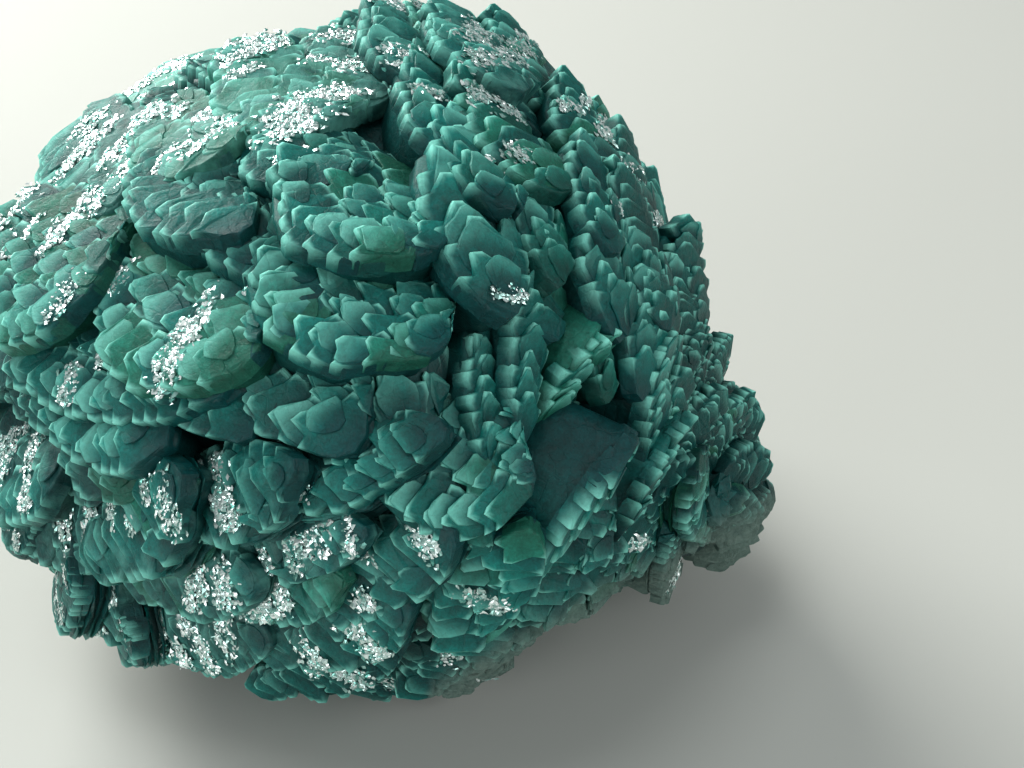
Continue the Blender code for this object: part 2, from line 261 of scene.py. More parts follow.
    # Relief in millimetres, up to three and a half times as deep on broken ground.
    relief = maths(tree, "MULTIPLY", plate_shade, 0.09)
    heights = ((chip_shade, 0.05), (grain, 0.07), (cloud, 0.2), (crumb, 0.03), (uncracked, 0.015))
    for pattern, height in heights:
        relief = maths(tree, "MULTIPLY_ADD", pattern, height, relief)
    relief = maths(tree, "MULTIPLY", relief, maths(tree, "MULTIPLY_ADD", given["Broken"], 2.5, 1))
    bump = shader_node(tree, "ShaderNodeBump", Height=relief, Strength=1.0, Distance=MM)
    tree.links.new(bump.outputs[0], result["Normal"])
    return tree


ZEOLITE = zeolite_group()


def zeolite_material(name, attributes=True, **values):
    """Heulandite with its group fed from the piece's own attributes, or from fixed values."""
    material = bpy.data.materials.new(name)
    material.use_nodes = True
    tree = material.node_tree
    shader = tree.nodes["Principled BSDF"]
    group = tree.nodes.new("ShaderNodeGroup")
    group.node_tree = ZEOLITE
    if attributes:
        layers = (("growth", ("Rim", "Tone", "Depth")), ("finish", ("Broken", "Glitter", "Fade")))
        for layer, sockets in layers:
            read = shader_node(tree, "ShaderNodeAttribute", {"attribute_name": layer})
            for channel, socket in zip(split_colour(tree, read.outputs["Color"]), sockets):
                tree.links.new(channel, group.inputs[socket])
    for socket, value in values.items():
        group.inputs[socket].default_value = value
    tree.links.new(group.outputs["Colour"], shader.inputs["Base Color"])
    tree.links.new(group.outputs["Roughness"], shader.inputs["Roughness"])
    tree.links.new(group.outputs["Normal"], shader.inputs["Normal"])
    shader.inputs["Subsurface Weight"].default_value = 0.12
    shader.inputs["Subsurface Radius"].default_value = (0.5, 1.0, 0.9)
    shader.inputs["Subsurface Scale"].default_value = 0.7 * MM
    shader.inputs["IOR"].default_value = 1.45
    shader.inputs["Specular IOR Level"].default_value = 0.28
    return material


heart.data.materials.clear()
# Painted shade: the heart gets the darkest cleft green, as it shows only down in the clefts.
heart.data.materials.append(zeolite_material("cleft_shaded_zeolite", False, Depth=0.05, Broken=0.15, Tone=0.3))
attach(heart, "root")
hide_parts("heulandite_cluster")

# 2. One crystal and one sheaf.
# Each crystal is a thin coffin-shaped plate with a blunt point and a crisp, narrow bevel. A sheaf is a
# thick hull of parallel plates with steep, smooth sides, roofed with plates that step down to its tips.


def select_verts(obj, test):
    """In edit mode, selects exactly the vertices whose place passes the test."""
    bpy.ops.mesh.select_mode(type="VERT")
    bpy.ops.mesh.select_all(action="DESELECT")
    bpy.ops.object.mode_set(mode="OBJECT")
    for vertex in obj.data.vertices:
        vertex.select = test(vertex.co)
    bpy.ops.object.mode_set(mode="EDIT")


def unit_disc(name, corners):
    """A flat disc, one unit across, left in edit mode."""
    bpy.ops.object.select_all(action="DESELECT")
    bpy.ops.mesh.primitive_circle_add(vertices=corners, radius=0.5, fill_type="NGON", location=(0, 0, 0))
    disc = bpy.context.object
    disc.name = name
    bpy.ops.object.mode_set(mode="EDIT")
    return disc


def build_up(levels):
    """Raises the outline from z = -1 by each level's height, growing or shrinking it by the level's size."""
    bpy.ops.mesh.select_all(action="SELECT")
    bpy.ops.transform.translate(value=(0, 0, -1))
    for height, size in levels:
        bpy.ops.mesh.extrude_region_move(TRANSFORM_OT_translate={"value": (0, 0, height)})
        bpy.ops.transform.resize(value=(size, size, 1))
    bpy.ops.object.mode_set(mode="OBJECT")


def coffin_plate(name, point_drop, levels):
    """A unit plate, its point towards +Y and its face at z = 0. It gets its real size where it is copied."""
    plate = unit_disc(name, 12)
    select_verts(plate, lambda place: 0.4 < place.y < 0.45)
    bpy.ops.transform.translate(value=(0, -point_drop, 0))
    select_verts(plate, lambda place: 0.2 < place.y < 0.3)
    bpy.ops.transform.translate(value=(0, -0.8 * point_drop, 0))
    bpy.ops.transform.resize(value=(1.1, 1, 1))
    select_verts(plate, lambda place: place.y < -0.2)
    bpy.ops.transform.resize(value=(0.88, 1, 1))
    select_verts(plate, lambda place: place.y > 0.45)
    bpy.ops.mesh.bevel(offset=0.09, affect="VERTICES")
    build_up(levels)
    return plate


def sheaf_hull():
    """The unit hull of a sheaf: steep rounded sides that draw in towards its root, and a narrower foot."""
    hull = unit_disc("sheaf_hull", 20)
    select_verts(hull, lambda place: place.y < -0.1)
    bpy.ops.transform.resize(value=(0.92, 1, 1))
    select_verts(hull, lambda place: place.y < -0.3)
    bpy.ops.transform.resize(value=(0.78, 1.0, 1))
    select_verts(hull, lambda place: place.y > 0.3)
    bpy.ops.transform.resize(value=(0.88, 1, 1))
    bpy.ops.mesh.select_all(action="SELECT")
    bpy.ops.transform.resize(value=(0.82, 0.82, 1))
    build_up(HULL_LEVELS)
    return hull


def thin_ledge():
    """The broken edge of one thin layer, part of the way down a sheaf's side."""
    ledge = unit_disc("thin_ledge", 24)
    build_up(LEDGE_LEVELS)
    return ledge


def cleavage_chip():
    """A low, lopsided pyramid: one bright corner of a plate that broke along its cleavage."""
    bpy.ops.object.select_all(action="DESELECT")
    bpy.ops.mesh.primitive_cone_add(vertices=5, radius1=0.5, radius2=0, depth=1, location=(0, 0, -0.5))
    bpy.ops.object.transform_apply(location=True, rotation=False, scale=False)
    chip = bpy.context.object
    bpy.ops.object.mode_set(mode="EDIT")
    select_verts(chip, lambda place: place.z > -0.1)
    bpy.ops.transform.translate(value=(0.14, 0.08, 0))
    bpy.ops.object.mode_set(mode="OBJECT")
    return chip


def read_shape(obj, smooth):
    """The shape as arrays, with its painted rim light from 0 to 1 and its fade from painted shade at the root
    to the tip. Its object is put away.
    """
    mesh = obj.data
    points = np.empty(len(mesh.vertices) * 3)
    mesh.vertices.foreach_get("co", points)
    points = points.reshape(-1, 3)
    loops = np.empty(len(mesh.loops), np.int32)
    mesh.loops.foreach_get("vertex_index", loops)
    totals = np.empty(len(mesh.polygons), np.int32)
    mesh.polygons.foreach_get("loop_total", totals)
    bpy.data.objects.remove(obj, do_unlink=True)
    radius = np.hypot(points[:, 0], points[:, 1])
    # Painted rim light: brightest on the outer edge, at the top and towards the tip.
    rim = np.clip((radius - 0.35) / 0.1, 0, 1) * np.clip(1.2 + points[:, 2] * 0.9, 0.1, 1)
    rim = rim * np.clip(0.6 + points[:, 1] * 1.6, 0.0, 1)
    fade = np.clip(points[:, 1] + 0.5, 0, 1)
    return {"points": points, "loops": loops, "totals": totals, "rim": rim, "fade": fade, "smooth": smooth}


# Each shape's levels from its underside up: how far to rise, and how much to grow or shrink.
LEAF_LEVELS = ((0.83, 1.04), (0.11, 0.98), (0.06, 0.925), (0.0, 0.8))
PLAIN_LEVELS = ((0.93, 1.03), (0.07, 0.94), (0.0, 0.8))
STEP_LEVELS = ((0.6, 1.03), (0.4, 0.96))
HULL_LEVELS = ((0.5, 1.16), (0.4, 1.1), (0.04, 1.03), (0.06, 0.985), (0.0, 0.6))
LEDGE_LEVELS = ((1, 1.05),)
LEAF = read_shape(coffin_plate("crystal_leaf", 0.14, LEAF_LEVELS), False)
PLAIN_LEAF = read_shape(coffin_plate("plain_leaf", 0.14, PLAIN_LEVELS), False)
STEP = read_shape(coffin_plate("growth_step", 0.1, STEP_LEVELS), False)
HULL = read_shape(sheaf_hull(), True)
LEDGE = read_shape(thin_ledge(), False)
CHIP = read_shape(cleavage_chip(), False)


def turn_about(axis, angle):
    """A rotation matrix about X (0), Y (1) or Z (2)."""
    first, second = [index for index in range(3) if index != axis]
    matrix = np.eye(3)
    matrix[first, first] = matrix[second, second] = math.cos(angle)
    sign = -1 if axis != 1 else 1
    matrix[first, second] = sign * math.sin(angle)
    matrix[second, first] = -sign * math.sin(angle)
    return matrix


def uneven(points, draw, waves):
    """The same plan, its outline swelling in and out a little. Each wave has a count and a depth."""
    points = points.copy()
    angle = np.arctan2(points[:, 1], points[:, 0])
    swell = np.ones(len(points))
    for count, depth in waves:
        swell += depth * np.sin(count * angle + draw.uniform(0, 2 * math.pi))
    points[:, :2] *= swell[:, None]
    return points


def new_growth():
    return {name: [] for name in ("points", "loops", "totals", "smooth", "growth", "finish")}


PALE_BASE_HEIGHT = 4.5 * MM
CRYSTAL_DEPTH = 3.6 * MM


def brokenness(points, out):
    """How broken the ground is: near the base, under the lower front edge and towards the worn right side."""
    nearer = VIEW_DISTANCE * MM / (VIEW_DISTANCE * MM - out @ DISPLAY_AXIS) / MM
    across, up = out @ DISPLAY_RIGHT * nearer, out @ DISPLAY_UP * nearer
    front_edge = 0.46 * (across - 4.9) - 20.3
    low = 1 - points[:, 2] / PALE_BASE_HEIGHT
    under = (front_edge - up) / 3.5 * (across > 2.5)
    right = (across - 21) / 14 * (points[:, 1] < 0.004)
    return np.maximum(np.maximum(low, under - 1.2) * 0.7, right * 0.28)


def add_copy(growth, shape, points, tone, glitter, rim=1.0, light=1.0, worn=0.0):
    """Adds one placed copy, in world coordinates, with what its colour depends on."""
    offset = growth.get("count", 0)
    count = len(points)
    growth["count"] = offset + count
    growth["points"].append(points)
    growth["loops"].append(shape["loops"] + offset)
    growth["totals"].append(shape["totals"])
    growth["smooth"].append(np.full(len(shape["totals"]), shape["smooth"]))
    out = points - HEART
    distance = np.linalg.norm(out, axis=1)
    depth = (distance - heart_radius(out / distance[:, None])) / CRYSTAL_DEPTH
    broken = np.clip(brokenness(points, out), worn, 1)
    # Painted light and shade: rim is painted rim light, and depth times light is painted shade, darker near
    # the heart and on shaded sides.
    shade = (shape["rim"] * rim, np.full(count, tone), np.clip(depth * light, 0, 1), np.ones(count))
    growth["growth"].append(np.stack(shade, 1))
    look = (broken, np.full(count, glitter), shape["fade"], np.ones(count))
    growth["finish"].append(np.stack(look, 1))


def grown_piece(name, growth, material):
    """One joined mesh of everything that was added, lying at its real place."""
    points = np.concatenate(growth["points"])
    loops = np.concatenate(growth["loops"]).astype(np.int32)
    totals = np.concatenate(growth["totals"]).astype(np.int32)
    mesh = bpy.data.meshes.new(name)
    mesh.vertices.add(len(points))
    mesh.vertices.foreach_set("co", points.ravel())
    mesh.loops.add(len(loops))
    mesh.loops.foreach_set("vertex_index", loops)
    mesh.polygons.add(len(totals))
    mesh.polygons.foreach_set("loop_start", np.cumsum(totals) - totals)
    mesh.polygons.foreach_set("loop_total", totals)
    mesh.polygons.foreach_set("use_smooth", np.concatenate(growth["smooth"]))
    mesh.update(calc_edges=True)
    for layer in ("growth", "finish"):
        values = np.concatenate(growth[layer]).ravel()
        mesh.attributes.new(layer, "FLOAT_COLOR", "POINT").data.foreach_set("color", values)
    mesh.materials.append(material)
    piece = bpy.data.objects.new(name, mesh)
    bpy.context.scene.collection.objects.link(piece)
    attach(piece, "root")
    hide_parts("heulandite_cluster")


def heart_normal(point):
    """The heart's outward normal, from four spots close round this one."""
    direction = unit(point - HEART)
    side = unit(np.cross(direction, (0.3, 0.5, 0.8))) * 0.06
    other = np.cross(direction, side)
    right, left, far, near = (heart_point(unit(direction + step)) for step in (side, -side, other, -other))
    return unit(np.cross(right - left, far - near))


def display_place(across, up):
    """Where the line of sight through a spot on the display side meets the heart's surface."""
    spot = HEART + (DISPLAY_RIGHT * across + DISPLAY_UP * up) * MM
    sight = unit(spot - VIEWPOINT)
    nearest = (HEART - VIEWPOINT) @ sight
    steps = np.arange(nearest - 2 * CORE_HALF_SIZES[0], nearest, 0.25 * MM)
    offsets = VIEWPOINT + steps[:, None] * sight - HEART
    inside = np.linalg.norm(offsets, axis=1) <= heart_radius(unit(offsets))
    return heart_point(unit(offsets[np.argmax(inside) if inside.any() else -1]))


def display_heading(degrees):
    """The way that tips point, counted anticlockwise from the right, and bent back round the ball."""
    angle = math.radians(degrees)
    return DISPLAY_RIGHT * math.cos(angle) + DISPLAY_UP * math.sin(angle) - DISPLAY_AXIS * 0.5


# A hull's most tilt, and how deep its root is sunk. Leaves slope up to their tips, and each row stands
# back from the last by a share of a leaf and slants. Small leaves lie in wide, crumbly terraces.
HULL_TILT = math.radians(-13)
HULL_ROOT = 3 * MM
LEAF_SLOPE = math.tan(math.radians(11.5))
ROW_STEP = 0.32
ROW_SLANT = 0.34
USUAL_ROLL = 20
TERRACED_UNDER = 3.7 * MM
COVERED = []  # each sheaf's place, and how far round it the ground is covered


class Sheaf:
    """One sheaf with its own axes: X across it, Y towards its tips, Z out of its roof.

    The roll, in degrees, tips the roof over to its tips' right. The proud side, -1 or 1, has the long points.
    """

    def __init__(self, draw, place, heading, sizes, proud, roll=None, crystal=LEAF):
        self.draw = draw
        self.length, self.width, self.height, self.leaf, self.glitter = sizes
        self.proud = proud
        self.crystal = crystal
        normal = heart_normal(place) if roll is None else unit(place - HEART)
        along = unit(heading - normal * (heading @ normal))
        facing = normal @ unit(VIEWPOINT - place)
        # Tips lie low in the middle of each side and stand out near the ball's outline.
        if facing > -0.06:
            rise = np.clip((facing - 0.5) / 0.3, -1.1, 1)
        else:
            rise = np.clip(-4 * facing - 1.6, -1.4, 0.8)
        pitch = HULL_TILT * rise + draw.normal(0, 0.04)
        self.height *= min(0.6 + 0.55 * abs(facing), 1)
        tip = along * math.cos(pitch) + normal * math.sin(pitch)
        face = normal * math.cos(pitch) - along * math.sin(pitch)
        turn = -math.radians(USUAL_ROLL if roll is None else roll) + draw.normal(0, 0.05)
        self.axes = turn_about(1, turn) @ np.stack((np.cross(tip, face), tip, face))
        self.origin = place + normal * self.height
        self.crown = self.width * 0.07
        self.tone = draw.uniform(0, 1)
        self.step = self.leaf * ROW_STEP
        self.edge = self.step * LEAF_SLOPE * 0.95
        self.last_tip = -0.5 * self.length + self.leaf * 0.72
        self.leaves = []
        COVERED.append((*place, 0.36 * max(self.length, self.width)))

    def put(self, growth, shape, points, tone, rim=1.0, light=1.0):
        """Adds a copy given in the sheaf's own axes, unless it would lie under the flat base."""
        world = points @ self.axes + self.origin
        if (world[:, 2] > 0.6 * MM).mean() > 0.3:
            world[:, 2] = np.maximum(world[:, 2], 0.02 * MM)
            add_copy(growth, shape, world, tone, self.glitter, rim, light)

    def fall(self, x):
        """How far the crowned roof has fallen away at this distance from its middle line."""
        return self.crown * (x / (0.5 * self.width)) ** 2

    def reach(self, angle):
        """How far out the hull's rim lies in this direction."""
        return np.interp(angle, self.rim_angles, self.rim_radii, period=2 * math.pi)

    def pull_in(self, points, limit):
        """Draws in whatever lies outside the hull's rim, so that plates end flush with its side."""
        angle = np.arctan2(points[:, 1], points[:, 0])
        share = np.hypot(points[:, 0], points[:, 1]) / self.reach(angle)
        pull = np.where(share > limit, limit / np.maximum(share, 1e-6), 1)
        points[:, :2] *= pull[:, None]

    def grow_hull(self, growth):
        hull = uneven(HULL["points"], self.draw, ((2, 0.05), (3, 0.06), (5, 0.035)))
        hull = hull * (self.width, self.length, self.height + HULL_ROOT)
        self.rim = hull[(HULL["points"][:, 2] > -0.08) & (HULL["points"][:, 2] < -0.04)]
        angles = np.arctan2(self.rim[:, 1], self.rim[:, 0])
        order = np.argsort(angles)
        self.rim_angles = angles[order]
        self.rim_radii = np.hypot(self.rim[:, 0], self.rim[:, 1])[order]
        hull[:, 2] -= self.fall(hull[:, 0])
        hull[:, 2] -= np.maximum(self.last_tip - hull[:, 1], 0) * LEAF_SLOPE + 0.6 * MM
        hull[:, 2] -= np.clip(2 * hull[:, 1] / self.length, 0, 1) ** 2 * 0.5 * MM
        # Painted shade: the hull's sides are darkened, more so on glittering sheaves whose proud side is 1,
        # and get little painted rim light.
        light = 0.36 if self.proud < 0 or self.glitter == 0 else 0.2
        self.put(growth, HULL, hull, self.tone, 0.1, light)

    def grow_ledges(self, growth):
        """Thin broken layers that show all round the hull's sides, one under another."""
        depth = 0.95 * MM
        while depth < self.height + 1.2 * MM:
            ledge = LEDGE["points"].copy()
            spread = self.draw.uniform(0.95, 1.0)
            ragged = self.draw.uniform(0.95, 1.04, len(ledge))
            radius = self.reach(np.arctan2(ledge[:, 1], ledge[:, 0]))
            ledge[:, :2] *= (2 * radius * spread * ragged)[:, None]
            ledge[:, 2] = ledge[:, 2] * 0.26 * MM - depth - self.fall(ledge[:, 0])
            ledge[:, 2] += ledge[:, 1] * self.draw.normal(0.06, 0.03)
            tone = np.clip(self.tone + self.draw.normal(0, 0.2), 0, 1)
            # Painted shade: the ledges are darkened and get only a little painted rim light.
            self.put(growth, LEDGE, ledge, tone, 0.35, 0.35)
            depth += self.draw.uniform(0.34, 0.7) * MM

    def sides_at(self, y):
        """How far the hull's rim lies to the left and the right of its middle line at one height."""
        sides = []
        for side in (-1, 1):
            flank = self.rim[self.rim[:, 0] * side > 0]
            flank = flank[np.argsort(flank[:, 1])]
            sides.append(np.interp(y, flank[:, 1], flank[:, 0]))
        return sides

    def grow_rows(self, growth):
        """Rows of leaves from the tips down to the root, each row filled from its proud side."""
        draw, leaf = self.draw, self.leaf
        row_tip = 0.5 * self.length + ROW_SLANT * self.width * 0.75
        while row_tip > self.last_tip - 0.4 * self.step:
            row_middle = np.clip(row_tip - 0.3 * leaf, -0.45 * self.length, 0.4 * self.length)
            left, right = self.sides_at(row_middle)
            span = right - left
            filled = 0.0
            while filled < span - 0.15 * leaf:
                share = draw.uniform(0.7, 1.15) if filled == 0 else draw.uniform(0.45, 0.95)
                share *= draw.uniform(1.4, 2.2) if leaf < TERRACED_UNDER else 1
                wide = min(leaf * share, span - filled)
                if span - filled - wide < 0.3 * leaf:
                    wide = span - filled
                middle = left + filled + 0.5 * wide if self.proud < 0 else right - filled - 0.5 * wide
                tip_y = row_tip - ROW_SLANT * filled + draw.uniform(-0.3, 0.3) * self.step
                filled += wide * 0.94
                self.grow_leaf(growth, middle, tip_y, wide, filled, span)
            row_tip -= self.step

    def grow_leaf(self, growth, middle, tip_y, wide, filled, span):
        """One leaf, unless it would stand clear of the hull. Leaves get more painted shade and less painted
        rim light away from the proud side.
        """
        draw, leaf = self.draw, self.leaf
        beyond = math.hypot(middle, tip_y) / self.reach(math.atan2(tip_y, middle))
        if beyond > 1.2 and tip_y > 0:
            return
        long = min(leaf * draw.uniform(0.95, 1.2), tip_y + 0.5 * self.length + 0.2 * leaf)
        if long < 0.3 * leaf:
            return
        outline = self.crystal["points"]
        plate = uneven(outline, draw, ((3, 0.05), (4, 0.03), (7, 0.02)))
        lean = self.proud * draw.uniform(0.1, 0.3)
        plate[:, 0] += lean * np.clip((plate[:, 1] - 0.15) / 0.35, 0, 1)
        plate *= (wide * 1.1, long, self.edge + 0.95 * MM)
        plate[:, :2] @= turn_about(2, draw.normal(0, 0.05))[:2, :2].T
        level = self.edge + (draw.normal(0, 0.06 * MM) - 0.015 * filled)
        slope = LEAF_SLOPE + draw.normal(0, 0.02)
        plate += (middle, tip_y - 0.5 * long, level)
        plate[:, 2] += (plate[:, 1] - tip_y) * slope - self.fall(plate[:, 0])
        inset = 0.5 - np.hypot(outline[:, 0], outline[:, 1])
        limit = 1.02 + 0.2 * np.clip(plate[:, 1] / self.length + 0.3, 0, 0.6) - 0.12 * inset
        self.pull_in(plate, limit)
        tone = np.clip(self.tone + draw.normal(0, 0.15), 0, 1)
        # Painted shade: darker the further the leaf lies from the proud side.
        light = 1 - 0.5 * min(filled / span, 1)
        self.put(growth, self.crystal, plate, tone, 0.6 + 0.5 * light, light)
        self.leaves.append((middle, tip_y, wide, long, level, slope))
        if draw.uniform() < (0.35 if leaf < TERRACED_UNDER else 0.7):
            self.grow_step(growth, self.leaves[-1], lean, tone, light)

    def grow_step(self, growth, under, lean, tone, light):
        """A smaller, very thin plate that has started to grow on the leaf under it."""
        draw = self.draw
        middle, tip_y, wide, long, level, slope = under
        size = draw.uniform(0.5, 0.8)
        patch = uneven(STEP["points"], draw, ((3, 0.06), (4, 0.04)))
        patch[:, 0] += lean * np.clip((patch[:, 1] - 0.15) / 0.35, 0, 1)
        patch *= (wide * size, long * size, 0.18 * MM)
        patch += (middle + draw.uniform(-0.15, 0.15) * wide, tip_y - (0.08 + 0.5 * size) * long, 0)
        patch[:, 2] += level + (patch[:, 1] - tip_y) * slope + draw.uniform(0.05, 0.11) * MM
        patch[:, 2] -= self.fall(patch[:, 0])
        self.pull_in(patch, 1.0)
        # The step takes its leaf's painted shade, with a little less painted rim light.
        self.put(growth, STEP, patch, tone, 0.8 * light, light)

    def scatter_chips(self, glints):
        """Streaks of bright chips on the roof, more of them the more its plates are broken."""
        draw = self.draw
        middles, tips, wides, longs, levels, slopes = np.array(self.leaves).T
        streaks = round(self.glitter * self.width * self.length / (9 * MM) ** 2 * 8)
        for _ in range(streaks):
            angle, share = draw.uniform(-math.pi, math.pi), math.sqrt(draw.uniform(0, 0.8))
            centre = np.array((math.cos(angle), math.sin(angle))) * self.reach(angle) * share
            spread = draw.uniform(0.5, 1.8) * MM
            for _ in range(round(105 * (spread / MM) ** 1.7)):
                turn = draw.uniform(0, 2 * math.pi)
                away = math.sqrt(draw.uniform()) * (1 + 0.3 * draw.normal())
                x, y = centre + np.array((1.5 * math.cos(turn), 0.6 * math.sin(turn))) * away * spread
                on = (np.abs(x - middles) < 0.4 * wides) & (y < tips - 0.06 * longs) & (y > tips - longs)
                if not on.any():
                    continue
                level = (levels + (y - tips) * slopes)[on].max() - self.fall(x)
                size = draw.uniform(0.2, 0.66) * MM
                chip = uneven(CHIP["points"], draw, ((1, 0.2), (2, 0.3)))
                chip *= (size, size * draw.uniform(0.5, 1), 0.16 * size)
                lean = turn_about(0, draw.normal(0, 0.14)) @ turn_about(1, draw.normal(0, 0.14))
                chip = chip @ (turn_about(2, draw.uniform(0, 6.3)) @ lean).T
                chip += (x, y, level + draw.uniform(0.03, 0.1) * MM)
                self.put(glints, CHIP, chip, draw.uniform(0, 1))

    def grow(self, growth, glints=None):
        self.grow_hull(growth)
        if self.proud > 0 and self.crystal is LEAF and self.glitter > 0:
            self.grow_ledges(growth)
        self.grow_rows(growth)
        self.scatter_chips(glints)


CRYSTAL_GREEN = zeolite_material("crystal_green")
# The chips' colour runs at random from green to nearly white: a painted glint, on top of their real glossy
# reflection.
CLEAVAGE_GLINT = bpy.data.materials.new("cleavage_glint")
CLEAVAGE_GLINT.use_nodes = True
tree = CLEAVAGE_GLINT.node_tree
read = shader_node(tree, "ShaderNodeAttribute", {"attribute_name": "growth"})
tone_channel = split_colour(tree, read.outputs["Color"])[1]
painted_glint_colour = mix_colour(tree, tone_channel, colour(60, 150, 136), colour(246, 255, 252))
shader = tree.nodes["Principled BSDF"]
tree.links.new(painted_glint_colour, shader.inputs["Base Color"])
shader.inputs["Roughness"].default_value = 0.18
shader.inputs["Metallic"].default_value = 0.6
shader.inputs["Coat Weight"].default_value = 1.0
shader.inputs["Coat Roughness"].default_value = 0.08

# A sheaf's root lies under its neighbours, so it is this much longer and wider than what shows of it.
LENGTH_WITH_ROOT = 1.38
WIDTH_WITH_ROOT = 1.34


def grow_display(name, seed, sheaves):
    """Sheaves and their chips, as two pieces.

    Each row gives one sheaf: across, up, heading, length, width, height, leaf size, glitter and a roll
    if it isn't the usual one. Sizes are in millimetres and angles in degrees.
    """
    growth, glints = new_growth(), new_growth()
    draw = np.random.default_rng(seed)
    for across, up, heading, length, width, height, leaf, glitter, *roll in sheaves:
        height += draw.normal(0, 0.3)
        long, wide = length * LENGTH_WITH_ROOT * MM, width * WIDTH_WITH_ROOT * MM
        sizes = (long, wide, height * MM, leaf * MM, glitter)
        proud = -1 if heading < 185 else 1
        forward = 0.1 * length
        turn = math.radians(heading)
        place = display_place(across + forward * math.cos(turn), up + forward * math.sin(turn))
        Sheaf(draw, place, display_heading(heading), sizes, proud, *roll).grow(growth, glints)
    grown_piece(name, growth, CRYSTAL_GREEN)
    grown_piece(name + "_glints", glints, CLEAVAGE_GLINT)


# 3. Sheaves above and right of the deep cleft.
# Narrow upright sheaves of tall heulandite leaves, tips up, that close like a half-open bud round the
# cleft. They have grown out of the heart, packed so close that each covers the roots of the next.
grow_display(
    "sheaves_over_cleft",
    11,
    (
        (8.6, 8.0, 100, 9.8, 5.0, 4.2, 5.6, 0.1),
        (9.4, 13.0, 106, 6.6, 5.0, 3.4, 4.2, 0.2),
        (6.4, 17.0, 95, 7.6, 3.6, 3.0, 4.4, 0.2),
        (12.4, 14.6, 128, 8.0, 5.4, 2.8, 3.6, 0.45),
        (13.5, 8.0, 92, 6.2, 3.8, 2.8, 4.2, 0.1),
        (17.4, 9.6, 90, 6.4, 3.8, 3.0, 4.0, 0.35, 8),
        (18.2, 4.2, 104, 6.6, 4.2, 3.2, 4.2, 0.0, 8),
        (11.6, 0.2, 93, 9.0, 3.0, 3.6, 4.0, 0.0),
        (14.8, -1.8, 100, 7.2, 4.2, 4.0, 4.0, 0.0),
        (17.6, -0.2, 92, 7.2, 2.4, 3.2, 4.2, 0.0, 8),
        (19.8, -0.2, 98, 6.6, 3.0, 3.4, 4.2, 0.0, 8),
        (13.6, 3.6, 100, 4.8, 4.2, 2.4, 3.6, 0.0),
        (22.0, -2.6, 116, 6.8, 5.0, 3.6, 4.6, 0.0, 8),
    ),
)
grow_display(
    "sheaves_right",
    12,
    (
        (20.2, -5.0, 106, 7.0, 4.0, 4.4, 3.8, 0.0, 28),
        (22.6, -7.2, 116, 5.2, 4.2, 3.0, 3.6, 0.0, 2),
        (20.0, -11.4, 94, 7.4, 4.8, 3.8, 3.6, 0.0, 26),
        (22.0, 10.4, 126, 8.4, 4.2, 2.6, 3.6, 0.3, 2),
        (21.6, 5.6, 130, 8.2, 4.8, 2.6, 3.6, 0.0, 2),
        (17.8, 14.6, 106, 6.4, 4.6, 3.2, 3.2, 0.5, 2),
        (20.6, 15.8, 122, 7.4, 4.2, 3.2, 3.2, 0.4, 2),
        (24.4, 12.6, 132, 9.4, 5.4, 2.8, 3.2, 0.2, -10),
        (26.2, 8.0, 136, 8.2, 5.2, 2.2, 2.8, 0.0, -10),
        (25.2, 2.8, 140, 6.4, 5.2, 2.4, 2.8, 0.0, -10),
        (28.6, 4.0, 146, 5.6, 5.0, 1.6, 2.2, 0.0, -10),
        (27.2, -0.8, 140, 5.6, 5.2, 1.8, 2.2, 0.0, -10),
        (25.0, -4.8, 118, 5.6, 4.6, 2.2, 2.2, 0.0, -10),
        (29.2, -5.2, 120, 5.0, 4.6, 1.6, 2.0, 0.0, -10),
        (25.6, -9.6, 104, 6.0, 4.8, 2.0, 2.2, 0.0, -10),
        (29.4, -9.8, 84, 5.0, 4.6, 1.6, 2.0, 0.0, -10),
        (21.6, -15.0, 262, 5.4, 5.0, 1.8, 2.2, 0.0, 2),
        (25.6, -12.6, 300, 6.2, 5.4, 1.6, 2.0, 0.1, -10),
        (24.0, -17.0, 280, 6.0, 5.0, 1.4, 1.8, 0.2, -10),
    ),
)

# 4. Sheaves under the cleft.
# A broad shell of one thick crystal below the cleft, its smooth side towards the cleft, and crowded
# plates that step down from it to the broken base.
grow_display(
    "sheaves_under_cleft",
    13,
    (
        (13.4, -11.4, 226, 9.8, 7.2, 5.0, 4.4, 0.0, -38),
        (13.4, -15.4, 222, 8.0, 5.0, 3.0, 3.4, 0.0),
        (6.4, -16.0, 246, 8.6, 4.6, 4.6, 3.8, 0.1),
        (10.6, -18.8, 214, 8.4, 5.0, 2.8, 3.2, 0.0),
        (16.6, -13.2, 252, 6.4, 5.2, 2.6, 3.0, 0.0),
        (16.0, -17.6, 236, 6.2, 6.0, 2.0, 2.2, 0.1),
        (8.2, -22.8, 202, 9.4, 5.2, 2.2, 2.6, 0.1),
        (3.6, -13.8, 236, 6.8, 4.2, 3.6, 3.2, 0.1),
        (5.0, -26.4, 262, 6.0, 6.4, 3.0, 2.4, 0.2),
        (-1.6, -25.0, 256, 6.0, 6.6, 2.4, 2.6, 0.4),
    ),
)

# 5. The broken front edge.
# Angular crumbs of the same crystals along the lower front rim, where they broke from the rock, dark with
# both rendered and painted shade.
# They are greyer and paler on the very rim.
bpy.ops.object.select_all(action="DESELECT")
bpy.ops.mesh.primitive_ico_sphere_add(subdivisions=1, radius=1, location=(0, 0, 0))
CRUMB = read_shape(bpy.context.object, False)
